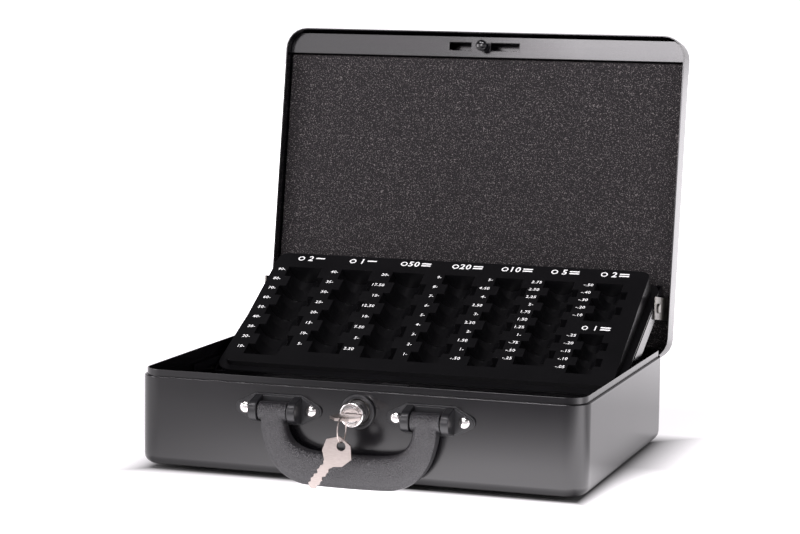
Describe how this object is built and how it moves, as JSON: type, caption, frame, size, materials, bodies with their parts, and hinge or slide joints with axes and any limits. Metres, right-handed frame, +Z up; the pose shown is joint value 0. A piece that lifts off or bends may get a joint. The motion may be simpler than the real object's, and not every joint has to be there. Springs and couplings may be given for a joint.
{
  "type": "cash box",
  "caption": "Portable steel cash box with a hinged lid, a coin counting tray that lifts as the lid opens, a foam pad, a carrying handle and a push-in key lock.",
  "frame": {"origin": "middle of the flat underside of the case, 4 mm above the floor that its feet stand on", "axes": "+X to the right seen from the lock side, +Y to the hinges, +Z up"},
  "size_m": [0.36, 0.3979, 0.3395],
  "materials": {
    "black_paint": "semi-gloss black stove enamel",
    "tray_plastic": "matte black moulded plastic",
    "grip_plastic": "leather-grained black plastic",
    "bracket_plastic": "satin black plastic",
    "foam": "open-cell anthracite foam",
    "rubber": "matte black rubber",
    "chrome": "bright chrome plate",
    "nickel": "nickel plate, lightly brushed",
    "zinc": "bright zinc plate"
  },
  "bodies": {
    "case": {"base_shell": "black_paint", "rim_collar": "black_paint", "foot_front_left": "rubber", "foot_front_right": "rubber", "foot_rear_left": "rubber", "foot_rear_right": "rubber", "hinge_leaf_base_left": "black_paint", "hinge_leaf_base_right": "black_paint", "hinge_pin_left": "zinc", "hinge_pin_right": "zinc", "guide_plate_right": "black_paint", "guide_plate_left": "black_paint", "handle_bracket_left": "bracket_plastic", "handle_pin_left": "zinc", "handle_rivet_left_outer": "chrome", "handle_rivet_left_inner": "chrome", "handle_bracket_right": "bracket_plastic", "handle_pin_right": "zinc", "handle_rivet_right_outer": "chrome", "handle_rivet_right_inner": "chrome", "lock_escutcheon": "bracket_plastic", "lock_housing": "zinc", "lock_nut": "zinc", "bolt_box": "black_paint"},
    "lid": {"lid_shell": "black_paint", "lock_rail": "black_paint", "striker_stud": "black_paint", "foam_pad": "foam", "lifting_strap_left": "zinc", "lifting_strap_right": "zinc", "hinge_leaf_lid_left": "black_paint", "hinge_leaf_lid_right": "black_paint"},
    "tray": {"coin_tray": "tray_plastic", "tray_carrier": "black_paint", "tray_pivot_pin_left": "zinc", "tray_pivot_pin_right": "zinc", "tray_slide_pin_left": "zinc", "tray_slide_pin_right": "zinc"},
    "handle": {"handle_grip": "grip_plastic"},
    "cylinder": {"lock_cylinder": "chrome"},
    "plug": {"lock_plug": "chrome"},
    "key": {"key_in_lock": "nickel"},
    "ring": {"key_ring": "nickel"},
    "spare": {"spare_key": "nickel"},
    "bolt": {"lock_bolt": "black_paint"}
  },
  "joints": [
    {"name": "lid_hinge", "type": "hinge", "parent": "case", "child": "lid", "pos_m": [0, 0.1378, 0.0643], "axis": [1, 0, 0], "range_deg": [0, 98.6]},
    {"name": "tray_hinge", "type": "hinge", "parent": "lid", "child": "tray", "pos_m": [0, 0.1295, 0.10975], "axis": [-1, 0, 0], "range_deg": [0, 124.2]},
    {"name": "handle_swing", "type": "hinge", "parent": "case", "child": "handle", "pos_m": [0, -0.1481, 0.0522], "axis": [-1, 0, 0], "range_deg": [0, 60]},
    {"name": "lock_push", "type": "slide", "parent": "case", "child": "cylinder", "axis": [0, 1, 0], "range_m": [0, 0.013], "stiffness_N_per_m": 150},
    {"name": "bolt_slide", "type": "slide", "parent": "case", "child": "bolt", "axis": [-1, 0, 0], "range_m": [0, 0.0078]},
    {"name": "key_turn", "type": "hinge", "parent": "cylinder", "child": "plug", "pos_m": [0.0032, -0.15, 0.0544], "axis": [0, 1, 0], "range_deg": [0, 90]},
    {"name": "key_withdraw", "type": "slide", "parent": "plug", "child": "key", "axis": [0, -1, 0], "range_m": [0, 0.03]},
    {"name": "ring_swing", "type": "hinge", "parent": "key", "child": "ring", "pos_m": [0.0032, -0.1751, 0.0544], "axis": [-1, 0, 0], "range_deg": [0, 72]},
    {"name": "spare_swing", "type": "hinge", "parent": "ring", "child": "spare", "pos_m": [0.0032, -0.1751, 0.0372], "axis": [0, 1, 0], "range_deg": [-15, 50]}
  ],
  "couplings": [
    {"joint": "tray_hinge", "follows": "lid_hinge", "ratio": 1.2586},
    {"joint": "bolt_slide", "follows": "lock_push", "ratio": 0.6},
    {"joint": "ring_swing", "follows": "handle_swing", "ratio": 1.2}
  ]
}
